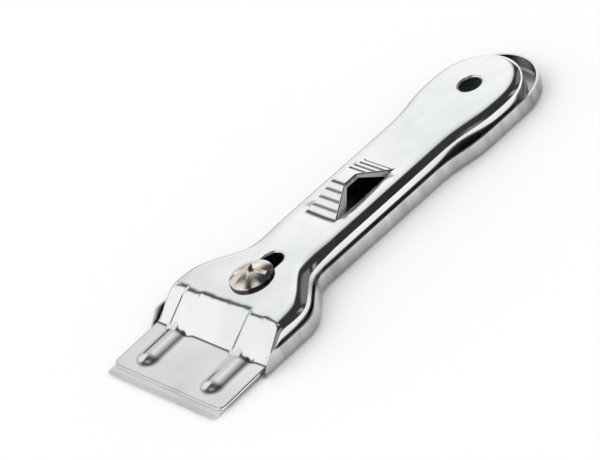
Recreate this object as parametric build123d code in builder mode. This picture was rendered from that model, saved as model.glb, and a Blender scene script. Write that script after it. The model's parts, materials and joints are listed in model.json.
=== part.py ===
from build123d import *
from math import atan, cos, hypot, radians, sin, sqrt, tan
import os

os.makedirs("parts", exist_ok=True)

# Razor blade scraper: two stamped shells, a blade between them and one clamping screw.
# Millimetres, +Z up. The blade points along -Y and the tool lies on its base at Z = 0.
# Lengths along Y are measured from the screw's axis: a "reach" is ahead of it, towards the
# blade, and an "at", "from" or "to" is behind it, towards the tail.

# ---- sheet and fits ---------------------------------------------------------------------------
sheet = 0.6              # thickness of both stamped shells
shell_gap = 0.3          # between the cover's flange and the base's wall
seat_gap = 0.05          # free play of the blade, below and above
slide_gap = 0.05         # between flat faces that slide or clamp
slot_gap = 0.1           # between the bush's collar and the slot's sides
lug_gap = 0.2            # between the blade's notches and the lugs
rivet_fit = 0.02         # around the bush's neck in the base's floor
thread_fit = 0.05        # around the screw's shank in the bush
washer_fit = 0.15        # around the screw's shank in the washer

# ---- cover, seen from above -------------------------------------------------------------------
head_half = 20.7         # half-width over the blade
handle_half = 10.95      # half-width of the handle
tail_half = 13.3         # half-width of the round tail
shoulder_at = -1.0       # corner where the head starts to narrow
neck_at = 9.4            # corner where the handle starts
shoulder_bend = 9.4      # radius round the shoulder
neck_bend = 7.0          # radius into the neck
swell_from = 61.5        # corner where the tail starts to widen
swell_to = 71.0          # corner where it has widened
swell_bend = 30.0        # radius at both of these corners
hanging_at = 78.4        # hanging hole, at the centre of the round tail
hanging_radius = 3.15

# ---- cover, seen from the side ----------------------------------------------------------------
cover_top = 8.7          # flat top above the resting face
flange_low = 2.6         # lower edge of the flanges
top_bend = 2.0           # radius of the rolled edge round the top
facet_bend = 1.2         # radius between the flat top and the facets
bend_reach = 9.6         # top of the facets
crease_reach = 17.4      # foot of the facets
plate_back = 2.3         # front edge of the plate behind the blade's cutting edge
plate_half = 20.4
plate_corner = 2.0
nose_pitch = 2.0         # degrees that the blade points down

# ---- facets and beads of the head -------------------------------------------------------------
panel_rise = 0.4         # of the two raised panels above the facets beside them
panel_foot = (7.7, 15.8)  # their inner and outer side at the crease
panel_head = (9.1, 14.2)  # and at the bend
panel_taper = 35.0
bead_at = 12.0
bead_half = 3.3          # half-width on the plate
bead_rise = 0.9
bead_reach = 30.2        # tip of the beads
bead_back = 12.5         # where their hollow has opened into the head

# ---- thumb bridge -----------------------------------------------------------------------------
bridge_from = 24.1
bridge_to = 45.0
bridge_half = 5.3
bridge_rise = 4.3
crown_from = 32.4
crown_to = 36.5
crown_half = 2.3
ridge_bend = 1.0
window_from = 26.4       # side openings, along the top
window_to = 43.2
window_drop = 0.9        # from the crown down to the openings
window_front = 1.4       # slack of the openings' upper corner behind the crown's front edge
window_bend = 0.6
rib_pitch = 2.1
groove_count = 3         # on each incline
groove_half = 0.45
groove_depth = 0.25

# ---- base -------------------------------------------------------------------------------------
rim_height = 4.6
floor_bend = 1.5         # outer radius between floor and wall
swell_lag = 0.5          # the base widens this much later than the forward cover does
tail_gap = 3.4           # space behind the cover's tail
rim_reach = 15.7         # front end of the walls at the rim
toe_reach = 19.6         # front end of the walls at the floor
toe_height = 0.6         # where the walls' slanted front end begins
tongue_half = 19.7
tongue_back = 3.1        # front edge of the tongue behind the blade's cutting edge
tongue_corner = 2.5
tongue_root = 18.6       # where the tongue has risen from the floor
ramp_length = 1.6
relief_width = 1.0       # cut between the tongue and the walls
lug_reach = 21.2
lug_radius = 2.0
lug_height = 0.6
dimple_depth = 0.4

# ---- blade ------------------------------------------------------------------------------------
blade_half = 20.0
blade_depth = 22.0
blade_sheet = 0.25
blade_reach = 35.6       # cutting edge
bevel_length = 1.1

# ---- screw, washer and bush -------------------------------------------------------------------
travel = 7.0             # of the cover, and length of its slot between centres
screw_radius = 2.0
head_radius = 5.6
head_rim = 0.65
rim_bevel = 0.12         # at the rim's upper edge
dome_rise = 1.1
shank_end = 0.5          # above the resting face
recess_turn = 24.0       # degrees that the long slot is turned from X
recess_width = 1.3
recess_depth = 1.3
long_recess = 4.4        # half-length of the long slot
cross_recess = 2.9       # half-length of the short slot across it
washer_radius = 5.7
washer_sheet = 0.4
bush_radius = 4.5
collar_radius = 2.9
collar_drop = 0.1        # from the cover's top down to the collar's
slot_bevel = 0.2         # round the slot's upper edge
rivet_radius = 3.0
rivet_flare = 0.3

# ---- what follows from them -------------------------------------------------------------------
base_grow = shell_gap + sheet
base_tail_half = tail_half + base_grow
base_tail_at = hanging_at + tail_gap
plate_reach = blade_reach - plate_back
tongue_reach = blade_reach - tongue_back
screw_y = (blade_reach - base_tail_at - base_tail_half) / 2

deck = Plane(origin=(0, screw_y, 0))
profile = Plane(origin=(0, screw_y, 0), x_dir=(0, 1, 0), z_dir=(1, 0, 0))
cross_section = Plane(origin=(0, screw_y, 0), x_dir=(1, 0, 0), z_dir=(0, -1, 0))
screw_axis = Axis((0, screw_y, 0), (0, 0, 1))

# hidden inner corners are cut flat, one sheet's thickness inside the bend around them
flat_share = 2 - sqrt(2)

pitch = radians(nose_pitch)
nose = Plane(
    origin=(0, screw_y - tongue_reach, 0), x_dir=(1, 0, 0), z_dir=(0, -sin(pitch), cos(pitch))
)
blade_level = sheet + seat_gap
plate_level = blade_level + blade_sheet + seat_gap


def nose_height(reach, level):
    """Height of a face of the nose, at a reach, that lies a level above the tongue's underside."""
    return (tongue_reach - reach) * tan(pitch) + level / cos(pitch)


crease_top = nose_height(crease_reach, plate_level + sheet)
slope_angle = atan((cover_top - crease_top) / (crease_reach - bend_reach))
slope_length = hypot(cover_top - crease_top, crease_reach - bend_reach)
slope = Plane(
    origin=(0, screw_y - crease_reach, crease_top),
    x_dir=(1, 0, 0),
    z_dir=(0, -sin(slope_angle), cos(slope_angle)),
)


def tool_outline(grow, tail, swell_shift, tail_at, front_reach):
    """Closed outline of a shell from above, grown outwards from the cover's own outline."""
    flare = atan((head_half - handle_half) / (neck_at - shoulder_at))
    corner_shift = grow * tan(flare / 2)
    head = head_half + grow
    handle = handle_half + grow
    with BuildSketch() as outline:
        with BuildLine():
            side = FilletPolyline(
                (head, -front_reach),
                (head, shoulder_at + corner_shift),
                (handle, neck_at + corner_shift),
                (handle, swell_from + swell_shift),
                (tail, swell_to + swell_shift),
                (tail, tail_at),
                radius=(shoulder_bend + grow, neck_bend - grow, swell_bend, swell_bend),
            )
            RadiusArc(side @ 1, (-tail, tail_at), -tail)
            mirror(side, about=Plane.YZ)
            Line((-head, -front_reach), (head, -front_reach))
        make_face()
    return outline.sketch


# ---- cover ------------------------------------------------------------------------------------


def head_and_handle(inset):
    """Filled form of the cover behind its crease, with every face moved inwards by the inset."""
    with BuildPart() as form:
        with BuildSketch(deck):
            add(tool_outline(0, tail_half, 0, hanging_at, crease_reach + cover_top))
            if inset:
                offset(amount=-inset, kind=Kind.INTERSECTION)
        extrude(amount=cover_top - inset)
        top_edges = form.faces().sort_by(Axis.Z)[-1].edges()
        if inset:
            chamfer(top_edges, length=flat_share * (top_bend - inset))
        else:
            fillet(top_edges, radius=top_bend)
        # the flat top bends down into the slope
        corner = (inset * tan(slope_angle / 2) - bend_reach, cover_top - inset)
        front = -2 * crease_reach
        foot = (front, corner[1] + (front - corner[0]) * tan(slope_angle))
        with BuildSketch(profile):
            with BuildLine():
                FilletPolyline(foot, corner, (0, corner[1]), radius=facet_bend - inset)
                Polyline((0, corner[1]), (0, 2 * cover_top), (front, 2 * cover_top), foot)
            make_face()
        extrude(amount=head_half, both=True, mode=Mode.SUBTRACT)
        # two raised panels carry the beads on up the slope
        with BuildSketch(slope.offset(-inset)):
            with BuildLine():
                Polyline(
                    (panel_foot[0], 0),
                    (panel_foot[1], 0),
                    (panel_head[1], slope_length),
                    (panel_head[0], slope_length),
                    close=True,
                )
            make_face()
            mirror(about=Plane.YZ)
        extrude(amount=panel_rise, taper=panel_taper)
        split(bisect_by=Plane.XY.offset(cover_top - inset), keep=Keep.BOTTOM)
    return form.part


def bead_rolls(inset):
    """Two round-nosed rolls along the nose, from the beads' tips back into the head."""
    roll = (bead_half**2 + bead_rise**2) / (2 * bead_rise)
    centre_level = plate_level + sheet + bead_rise - roll
    tip = tongue_reach - bead_reach + bead_half
    length = tongue_reach - bead_back - tip
    with BuildPart() as rolls:
        with Locations(nose.offset(centre_level)):
            with Locations((bead_at, tip), (-bead_at, tip)):
                Sphere(roll - inset)
                Cylinder(
                    roll - inset,
                    length,
                    rotation=(-90, 0, 0),
                    align=(Align.CENTER, Align.CENTER, Align.MIN),
                )
        split(bisect_by=nose.offset(plate_level), keep=Keep.TOP)
    return rolls.part


def bridge_form(inset, low):
    """Filled form of the thumb bridge, a low roof that narrows to its crown, from a height up."""
    front = atan(bridge_rise / (crown_from - bridge_from))
    rear = atan(bridge_rise / (bridge_to - crown_to))
    side = atan(bridge_rise / (bridge_half - crown_half))
    crown = cover_top + bridge_rise - inset
    starts = []
    ends = []
    halves = []
    for height in (low, crown):
        rise = height - cover_top
        starts.append(bridge_from + rise / tan(front) + inset / sin(front))
        ends.append(bridge_to - rise / tan(rear) - inset / sin(rear))
        halves.append(bridge_half - rise / tan(side) - inset / sin(side))
    with BuildPart() as form:
        with BuildSketch(profile):
            Polygon(
                (starts[0], low), (starts[1], crown), (ends[1], crown), (ends[0], low), align=None
            )
        extrude(amount=halves[0], both=True)
        with BuildSketch(cross_section):
            Polygon(
                (halves[0], low), (halves[1], crown), (-halves[1], crown), (-halves[0], low), align=None
            )
        extrude(amount=ends[0], both=True, mode=Mode.INTERSECT)
        if not inset:
            foot = form.faces().sort_by(Axis.Z)[0].edges()
            ridges = form.edges().filter_by(lambda edge: edge not in foot)
            fillet(ridges, radius=ridge_bend)
    return form.part


groove_radius = (groove_half**2 + groove_depth**2) / (2 * groove_depth)


def incline_grooves(start, end):
    """Centres, in the profile plane, of the grooves across an incline between foot and crown."""
    run = end - start
    incline = atan(bridge_rise / abs(run))
    back_off = sqrt(groove_radius**2 - groove_half**2)
    centres = []
    for i in range(groove_count):
        along = (i + 1) * rib_pitch * (1 if run > 0 else -1)
        height = cover_top + abs(along) * tan(incline)
        away = -sin(incline) * (1 if run > 0 else -1)
        centres.append((start + along + away * back_off, height + cos(incline) * back_off))
    return centres


with BuildPart() as cover_shell:
    add(head_and_handle(0))
    # front plate, lying parallel to the blade
    with BuildSketch(nose.offset(plate_level)):
        with Locations((0, tongue_reach - plate_reach)):
            plate = Rectangle(
                2 * plate_half, plate_reach - crease_reach + sheet, align=(Align.CENTER, Align.MIN)
            )
        fillet(plate.vertices().group_by(Axis.Y)[0], radius=plate_corner)
    extrude(amount=sheet)
    add(bead_rolls(0))
    add(bridge_form(0, cover_top - sheet))

    # hollow underneath, at one sheet's thickness from the outside
    add(head_and_handle(sheet), mode=Mode.SUBTRACT)
    add(bead_rolls(sheet), mode=Mode.SUBTRACT)
    add(bridge_form(sheet, cover_top - 2 * sheet), mode=Mode.SUBTRACT)

    # lower edge: under the plate, up behind the slope and along the flanges
    steep = tan(slope_angle)
    hidden_rise = crease_top - sheet / cos(slope_angle)
    fold_reach = (
        hidden_rise + crease_reach * steep - nose_height(0, plate_level)
    ) / (steep - tan(pitch))
    flange_reach = crease_reach - (flange_low - hidden_rise) / steep
    ahead = 2 * plate_reach
    behind = 2 * base_tail_at
    with BuildSketch(profile):
        with BuildLine():
            Polyline(
                (-ahead, nose_height(ahead, plate_level)),
                (-fold_reach, nose_height(fold_reach, plate_level)),
                (-flange_reach, flange_low),
                (behind, flange_low),
                (behind, -cover_top),
                (-ahead, -cover_top),
                close=True,
            )
        make_face()
    extrude(amount=2 * head_half, both=True, mode=Mode.SUBTRACT)

    # side openings of the bridge
    window_top = cover_top + bridge_rise - window_drop
    with BuildSketch(profile) as window:
        with BuildLine():
            Polyline(
                (window_from, cover_top),
                (crown_from + window_front, window_top),
                (crown_to, window_top),
                (window_to, cover_top),
                close=True,
            )
        make_face()
        fillet(window.vertices().group_by(Axis.Z)[-1], radius=window_bend)
    extrude(amount=bridge_half, both=True, mode=Mode.SUBTRACT)

    # ribs on both inclines, left standing between grooves
    grooves = incline_grooves(bridge_from, crown_from) + incline_grooves(bridge_to, crown_to)
    with BuildSketch(profile):
        with Locations(*grooves):
            Circle(groove_radius)
    extrude(amount=bridge_half, both=True, mode=Mode.SUBTRACT)

    # slot for the bush's collar, and the hanging hole
    with BuildSketch(deck.offset(cover_top)):
        with Locations((0, travel / 2)):
            SlotCenterToCenter(travel, 2 * (collar_radius + slot_gap), rotation=90)
        with Locations((0, hanging_at)):
            Circle(hanging_radius)
    extrude(amount=-2 * sheet, mode=Mode.SUBTRACT)
    top_face = cover_shell.faces().filter_by(Plane.XY).filter_by_position(
        Axis.Z, cover_top - sheet / 2, cover_top + sheet / 2
    ).sort_by(SortBy.AREA)[-1]
    slot_rim = top_face.inner_wires().sort_by(lambda wire: wire.center().Y)[0]
    chamfer(slot_rim.edges(), length=slot_bevel)

cover_shell.part.label = "cover_shell"
export_step(cover_shell.part, "parts/cover_shell.step")

# ---- base -------------------------------------------------------------------------------------


def tray(inset):
    """Filled form of the base, with every face but the rim's moved inwards by the inset."""
    with BuildPart() as form:
        with BuildSketch(deck.offset(inset)):
            add(tool_outline(
                base_grow, base_tail_half, swell_lag - travel, base_tail_at, toe_reach + rim_height
            ))
            if inset:
                offset(amount=-inset, kind=Kind.INTERSECTION)
        extrude(amount=rim_height - inset)
        floor_edges = form.faces().sort_by(Axis.Z)[0].edges()
        if inset:
            chamfer(floor_edges, length=flat_share * (floor_bend - inset))
        else:
            fillet(floor_edges, radius=floor_bend)
    return form.part


with BuildPart() as base_shell:
    add(tray(0))
    add(tray(sheet), mode=Mode.SUBTRACT)
    # slanted front end of the walls
    front = toe_reach + 2 * rim_height
    with BuildSketch(profile):
        with BuildLine():
            Polyline(
                (-rim_reach, rim_height),
                (-toe_reach, toe_height),
                (-toe_reach, -rim_height),
                (-front, -rim_height),
                (-front, 2 * rim_height),
                (-rim_reach, 2 * rim_height),
                close=True,
            )
        make_face()
    extrude(amount=2 * head_half, both=True, mode=Mode.SUBTRACT)

    # tongue, rising from the floor between two relief cuts
    ramp_reach = tongue_root - ramp_length
    with BuildSketch(deck):
        with Locations((0, -ramp_reach)):
            Rectangle(
                2 * (tongue_half + relief_width), tongue_reach, align=(Align.CENTER, Align.MAX)
            )
    extrude(amount=sheet, mode=Mode.SUBTRACT)
    with BuildSketch(profile):
        with BuildLine():
            Polyline(
                (-ramp_reach, 0),
                (-ramp_reach, sheet),
                (-tongue_root, nose_height(tongue_root, sheet)),
                (-tongue_reach, nose_height(tongue_reach, sheet)),
                (-tongue_reach, nose_height(tongue_reach, 0)),
                (-tongue_root, nose_height(tongue_root, 0)),
                close=True,
            )
        make_face()
    extrude(amount=tongue_half, both=True)
    front_corners = base_shell.edges().filter_by(Axis.Z, tolerance=2 * nose_pitch).sort_by(Axis.Y)[:2]
    fillet(front_corners, radius=tongue_corner)

    # lugs pressed up out of the tongue, with the dimples that this leaves below
    with BuildSketch(nose.offset(sheet)):
        with Locations((bead_at, tongue_reach - lug_reach), (-bead_at, tongue_reach - lug_reach)):
            Circle(lug_radius)
    extrude(amount=lug_height)
    with BuildSketch(nose):
        with Locations((bead_at, tongue_reach - lug_reach), (-bead_at, tongue_reach - lug_reach)):
            Circle(lug_radius)
    extrude(amount=dimple_depth, mode=Mode.SUBTRACT)

    # hole for the bush, flared below for its rivet, and the hanging hole
    with Locations(Location((0, screw_y, 0), (180, 0, 0))):
        CounterSinkHole(
            rivet_radius + rivet_fit,
            rivet_radius + rivet_fit + rivet_flare,
            depth=sheet,
            counter_sink_angle=90,
        )
    with Locations((0, screw_y + hanging_at, 0)):
        Hole(hanging_radius)

base_shell.part.label = "base_shell"
export_step(base_shell.part, "parts/base_shell.step")

# ---- bush riveted into the base ---------------------------------------------------------------
collar_top = cover_top - collar_drop
shoulder_height = cover_top - sheet - slide_gap

with BuildPart() as threaded_bush:
    with BuildSketch(profile):
        with BuildLine():
            Polyline(
                (screw_radius + thread_fit, 0),
                (rivet_radius + rivet_flare, 0),
                (rivet_radius, rivet_flare),
                (rivet_radius, sheet),
                (bush_radius, sheet),
                (bush_radius, shoulder_height),
                (collar_radius, shoulder_height),
                (collar_radius, collar_top),
                (screw_radius + thread_fit, collar_top),
                close=True,
            )
        make_face()
    revolve(axis=screw_axis)

threaded_bush.part.label = "threaded_bush"
export_step(threaded_bush.part, "parts/threaded_bush.step")

# ---- washer and screw -------------------------------------------------------------------------
washer_low = cover_top + slide_gap

with BuildPart() as clamp_washer:
    with BuildSketch(deck.offset(washer_low)):
        Circle(washer_radius)
        Circle(screw_radius + washer_fit, mode=Mode.SUBTRACT)
    extrude(amount=washer_sheet)
    washer_face = clamp_washer.faces().sort_by(Axis.Z)[-1]
    chamfer(washer_face.outer_wire().edges(), length=washer_sheet / 4)

clamp_washer.part.label = "clamp_washer"
export_step(clamp_washer.part, "parts/clamp_washer.step")

head_low = washer_low + washer_sheet + slide_gap
dome_low = head_low + head_rim
dome_top = dome_low + dome_rise
dome_half = head_radius - rim_bevel
dome_radius = (dome_half**2 + dome_rise**2) / (2 * dome_rise)

with BuildPart() as clamp_screw:
    with BuildSketch(profile):
        with BuildLine():
            Polyline(
                (0, dome_top),
                (0, shank_end),
                (screw_radius, shank_end),
                (screw_radius, head_low),
                (head_radius, head_low),
                (head_radius, dome_low - rim_bevel),
                (dome_half, dome_low),
            )
            RadiusArc((dome_half, dome_low), (0, dome_top), -dome_radius)
        make_face()
    revolve(axis=screw_axis)
    # long and short slot of the recess, each with a round bottom that rises to the dome
    for turn, reach in ((recess_turn, long_recess), (recess_turn + 90, cross_recess)):
        dome_fall = dome_radius - sqrt(dome_radius**2 - reach**2)
        bottom_rise = recess_depth - dome_fall
        cutter = (reach**2 + bottom_rise**2) / (2 * bottom_rise)
        across = Plane(
            origin=(0, screw_y, dome_top - recess_depth + cutter),
            x_dir=Vector(1, 0, 0).rotate(Axis.Z, turn),
            z_dir=Vector(0, -1, 0).rotate(Axis.Z, turn),
        )
        with BuildSketch(across):
            Circle(cutter)
        extrude(amount=recess_width / 2, both=True, mode=Mode.SUBTRACT)

clamp_screw.part.label = "clamp_screw"
export_step(clamp_screw.part, "parts/clamp_screw.step")

# ---- blade ------------------------------------------------------------------------------------
blade_rear = blade_reach - blade_depth
edge_line = tongue_reach - blade_reach
edge_level = blade_level + blade_sheet / 2

with BuildPart() as blade:
    nose_profile = Plane(
        origin=nose.origin, x_dir=nose.y_dir, z_dir=(1, 0, 0)
    )
    with BuildSketch(nose_profile):
        with BuildLine():
            Polyline(
                (edge_line, edge_level),
                (edge_line + bevel_length, blade_level + blade_sheet),
                (edge_line + blade_depth, blade_level + blade_sheet),
                (edge_line + blade_depth, blade_level),
                (edge_line + bevel_length, blade_level),
                close=True,
            )
        make_face()
    extrude(amount=blade_half, both=True)
    # notches that slide over the lugs, open at the back
    notch_half = lug_radius + lug_gap
    with BuildSketch(nose):
        with Locations((bead_at, tongue_reach - lug_reach), (-bead_at, tongue_reach - lug_reach)):
            Circle(notch_half)
            Rectangle(2 * notch_half, blade_depth, align=(Align.CENTER, Align.MIN))
    extrude(amount=plate_level, mode=Mode.SUBTRACT)

blade.part.label = "blade"
export_step(blade.part, "parts/blade.step")
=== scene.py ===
import json
from math import cos, radians, sin, sqrt, tan
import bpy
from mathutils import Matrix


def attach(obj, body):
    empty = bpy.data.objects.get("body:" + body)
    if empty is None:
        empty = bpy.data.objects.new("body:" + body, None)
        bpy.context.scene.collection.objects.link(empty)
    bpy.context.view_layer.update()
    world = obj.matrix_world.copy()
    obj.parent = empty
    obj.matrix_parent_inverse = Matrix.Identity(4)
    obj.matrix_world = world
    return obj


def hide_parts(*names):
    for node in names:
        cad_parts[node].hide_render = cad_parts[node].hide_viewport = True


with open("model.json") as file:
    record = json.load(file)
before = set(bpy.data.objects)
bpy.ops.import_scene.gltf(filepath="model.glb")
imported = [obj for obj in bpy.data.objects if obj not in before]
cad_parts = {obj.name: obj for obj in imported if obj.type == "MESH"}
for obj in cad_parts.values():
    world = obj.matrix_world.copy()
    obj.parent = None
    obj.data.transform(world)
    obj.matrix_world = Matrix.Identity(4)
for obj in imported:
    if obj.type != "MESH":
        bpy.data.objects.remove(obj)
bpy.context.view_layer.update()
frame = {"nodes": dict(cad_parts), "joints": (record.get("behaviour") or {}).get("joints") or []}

from types import SimpleNamespace

import bpy
import numpy as np
from mathutils import Matrix, Vector
from mathutils.geometry import delaunay_2d_cdt

# ---- camera, fitted to the photograph's outlines ----------------------------------------------
CAMERA_AIM = Vector((-0.00047, -0.01265, 0.00933))
CAMERA_DISTANCE = 0.84
CAMERA_AZIMUTH = 60.14
CAMERA_ELEVATION = 33.88
CAMERA_ROLL = -23.89
SENSOR_WIDTH = 36.0
FOCAL_IN_PIXELS = 3500.0
PHOTO_WIDTH = 600.0


def add_camera():
    azimuth, elevation, roll = (
        radians(angle) for angle in (CAMERA_AZIMUTH, CAMERA_ELEVATION, CAMERA_ROLL)
    )
    back = Vector((sin(azimuth) * cos(elevation), -cos(azimuth) * cos(elevation), sin(elevation)))
    level = Vector((cos(azimuth), sin(azimuth), 0))
    upright = back.cross(level)
    right = level * cos(roll) + upright * sin(roll)
    up = upright * cos(roll) - level * sin(roll)
    data = bpy.data.cameras.new("photo_camera")
    data.sensor_fit = "HORIZONTAL"
    data.sensor_width = SENSOR_WIDTH
    data.lens = FOCAL_IN_PIXELS / PHOTO_WIDTH * SENSOR_WIDTH
    data.clip_start = 0.01
    camera = bpy.data.objects.new("photo_camera", data)
    bpy.context.collection.objects.link(camera)
    turn = Matrix((right, up, back)).transposed().to_4x4()
    camera.matrix_world = Matrix.Translation(CAMERA_AIM + back * CAMERA_DISTANCE) @ turn
    bpy.context.scene.camera = camera


# ---- studio -----------------------------------------------------------------------------------
FLOOR_HALF = 2.0
FLOOR_GAP = 0.00002      # below the resting face, so that the two never lie in one plane
FLOOR_CLEAR = 0.00015    # rays that meet the floor sooner than this pass through it
ROOM_DARK = (0.015, 0.015, 0.018)
# each soft light of the room as metal sees it, with its level: it comes up over the first pair of
# azimuths from +X and goes down over the second, and does the same over the two pairs of elevations
ROOM_LIGHTS = (
    ("main", (122, 138), (145, 178), (4, 14), (37, 74), 1.0),
    ("main_low", (112, 128), (138, 150), (-12, -4), (8, 14), 1.0),
    ("left", (155, 170), (195, 205), (4, 14), (31, 40), 0.8),
    ("side", (181, 197), (278, 288), (8, 14), (58, 70), 0.93),
    ("back_fill", (150, 165), (200, 215), (35, 42), (60, 75), 0.06),
    ("high", (135, 160), (212, 240), (56, 68), (91, 90), 0.6),
    ("front_fill", (276, 290), (360, 376), (2, 8), (32, 46), 0.26),
    ("right", (402, 410), (415, 421), (2, 6), (30, 38), 0.4),
    ("right_back", (432, 440), (466, 474), (2, 6), (30, 40), 0.16),
)
# light from straight above and from below, with the elevations where it starts and is full
ZENITH_FROM, ZENITH_FULL, ZENITH_LEVEL = 77, 84, 0.85
GROUND_FROM, GROUND_FULL, GROUND_LEVEL = -3, -12, 0.8


def nodes_of(tree):
    tree.nodes.clear()
    return tree.nodes.new, tree.links.new


def add_floor():
    """A plain white floor, which is clear from below and for the resting face that lies on it."""
    mesh = bpy.data.meshes.new("floor")
    around = ((-1, -1), (1, -1), (1, 1), (-1, 1))
    corners = [(x * FLOOR_HALF, y * FLOOR_HALF, -FLOOR_GAP) for x, y in around]
    mesh.from_pydata(corners, [], [(0, 1, 2, 3)])
    floor = bpy.data.objects.new("floor", mesh)
    bpy.context.collection.objects.link(floor)
    material = bpy.data.materials.new("floor_white")
    material.use_nodes = True
    new, link = nodes_of(material.node_tree)
    shader = new("ShaderNodeBsdfPrincipled")
    shader.inputs["Base Color"].default_value = (1, 1, 1, 1)
    shader.inputs["Roughness"].default_value = 0.9
    shader.inputs["Specular IOR Level"].default_value = 0.0
    near, clear = new("ShaderNodeMath"), new("ShaderNodeMath")
    near.operation, clear.operation = "LESS_THAN", "MAXIMUM"
    near.inputs[1].default_value = FLOOR_CLEAR
    mix = new("ShaderNodeMixShader")
    link(new("ShaderNodeLightPath").outputs["Ray Length"], near.inputs[0])
    link(near.outputs[0], clear.inputs[0])
    link(new("ShaderNodeNewGeometry").outputs["Backfacing"], clear.inputs[1])
    link(clear.outputs[0], mix.inputs[0])
    link(shader.outputs[0], mix.inputs[1])
    link(new("ShaderNodeBsdfTransparent").outputs[0], mix.inputs[2])
    link(mix.outputs[0], new("ShaderNodeOutputMaterial").inputs["Surface"])
    mesh.materials.append(material)


def direction(azimuth, elevation):
    azimuth, elevation = radians(azimuth), radians(elevation)
    return Vector((cos(azimuth) * cos(elevation), sin(azimuth) * cos(elevation), sin(elevation)))


def add_world():
    """A white background, and for metal a dark room with soft lights."""
    world = bpy.data.worlds.new("studio")
    world.use_nodes = True
    new, link = nodes_of(world.node_tree)
    ray = new("ShaderNodeTexCoord").outputs["Generated"]

    def maths(operation, a, b=None):
        node = new("ShaderNodeMath")
        node.operation = operation
        for socket, value in zip(node.inputs, (a, b)):
            if value is None:
                continue
            if isinstance(value, (int, float)):
                socket.default_value = value
            else:
                link(value, socket)
        return node.outputs[0]

    def along(vector):
        node = new("ShaderNodeVectorMath")
        node.operation = "DOT_PRODUCT"
        link(ray, node.inputs[0])
        node.inputs[1].default_value = vector
        return node.outputs["Value"]

    def ramp(value, start, end):
        node = new("ShaderNodeMapRange")
        node.interpolation_type = "SMOOTHSTEP"
        link(value, node.inputs["Value"])
        node.inputs["From Min"].default_value = start
        node.inputs["From Max"].default_value = end
        return node.outputs["Result"]

    height = maths("ARCSINE", along((0, 0, 1)))

    def softbox(start, end, bottom, top, level):
        middle = (start[1] + end[0]) / 2
        ahead, across = along(direction(middle, 0)), along(direction(middle + 90, 0))
        turn = maths("ARCTAN2", across, ahead)
        share = level
        for value, zero, full in (
            (turn, start[0] - middle, start[1] - middle),
            (turn, end[1] - middle, end[0] - middle),
            (height, bottom[0], bottom[1]),
            (height, top[1], top[0]),
        ):
            share = maths("MULTIPLY", ramp(value, radians(zero), radians(full)), share)
        return share

    overhead = ramp(height, radians(ZENITH_FROM), radians(ZENITH_FULL))
    overhead = maths("MULTIPLY", overhead, ZENITH_LEVEL)
    below = ramp(height, radians(GROUND_FROM), radians(GROUND_FULL))
    below = maths("MULTIPLY", below, GROUND_LEVEL)
    total = maths("ADD", overhead, below)
    for name, *box in ROOM_LIGHTS:
        light = softbox(*box)
        light.node.label = name
        total = maths("MAXIMUM", total, light)
    room = new("ShaderNodeMix")
    room.data_type = "RGBA"
    link(total, room.inputs["Factor"])
    room.inputs["A"].default_value = (*ROOM_DARK, 1)
    room.inputs["B"].default_value = (1, 1, 1, 1)

    path = new("ShaderNodeLightPath")
    seen = new("ShaderNodeMix")
    seen.data_type = "RGBA"
    link(path.outputs["Is Glossy Ray"], seen.inputs["Factor"])
    seen.inputs["A"].default_value = (1, 1, 1, 1)
    link(room.outputs["Result"], seen.inputs["B"])
    background = new("ShaderNodeBackground")
    link(seen.outputs["Result"], background.inputs["Color"])
    link(background.outputs[0], new("ShaderNodeOutputWorld").inputs[0])
    bpy.context.scene.world = world


# ---- sizes of the cover, in millimetres; a reach is ahead of the screw's axis -------------------
MM = 0.001
SHEET = 0.6
COVER_TOP = 8.7
TRAY_HEIGHT = 4.6
FLANGE_LOW = 2.6
FLANGE_AT, FLANGE_RUN = 1.5, 1.2     # where the flange starts behind the crease, and grows
HEAD_HALF = 20.7
HANDLE_HALF = 10.95
TAIL_HALF = 13.3
SHOULDER_AT, NECK_AT = -1.0, 9.4
SHOULDER_BEND, NECK_BEND, SWELL_BEND = 9.4, 7.0, 30.0
SWELL_FROM, SWELL_TO = 61.5, 71.0
HANGING_AT, HANGING_RADIUS = 78.4, 3.15
SLOT_LENGTH, SLOT_RADIUS = 7.0, 3.0
COIN_DEPTH, COIN_WIDTH = 0.18, 0.35
HEAD_LOW, HEAD_RADIUS = 9.15, 5.6    # of the screw
HEAD_FALL = 0.38         # that its rim is drawn down
HEAD_STEM = 0.1          # of the rim's foot, which stays
FACES_UP = 0.05          # upright part of a normal that belongs to the dome

# front plate, and the fold and facets behind it
BEND_REACH, CREASE_REACH = 9.6, 17.4
PLATE_REACH, PLATE_HALF, PLATE_CORNER = 33.3, 20.4, 2.0
WIDEN_FROM, WIDEN_TO = -CREASE_REACH - 0.9, -CREASE_REACH + 0.4     # from the plate to the head
TONGUE_REACH = 32.5
NOSE_PITCH = radians(2.0)
PLATE_LEVEL = 0.95       # of the plate's underside above the tongue's
PANEL_RISE = 0.3
PANEL_FOOT, PANEL_HEAD = (7.7, 15.8), (9.1, 14.2)
PANEL_SOFT = 1.4         # width of a panel's sloping side
PANEL_FADE_FROM, PANEL_FADE = -0.4, 0.55     # share of the slope over which a panel rises
CENTRE_TWIST = 0.6       # that the middle facet's right side lies lower at the fold
FOLD_SOFT, FOLD_MEAN, FOLD_SLANT = 0.9, 1.2, 0.015
FOLD_WANDER = ((0.12, 0.9, 1.0), (0.05, 2.1, 0.0))   # size, pace along X and phase
FOLD_DIP, FOLD_DIP_REACH = 0.14, 4.5
FOLD_DIP_TO, FOLD_DIP_RUN_OUT = -4, 16
CREASE_SOFT = 0.5
BEAD_AT, BEAD_HALF, BEAD_RISE, BEAD_REACH = 12.0, 3.6, 0.85, 30.4
BEAD_STEEPNESS, BEAD_CREST = 1.3, 0.92
BEAD_CREST_SOFT, BEAD_FOOT_SOFT = 0.5, 0.3
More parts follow.
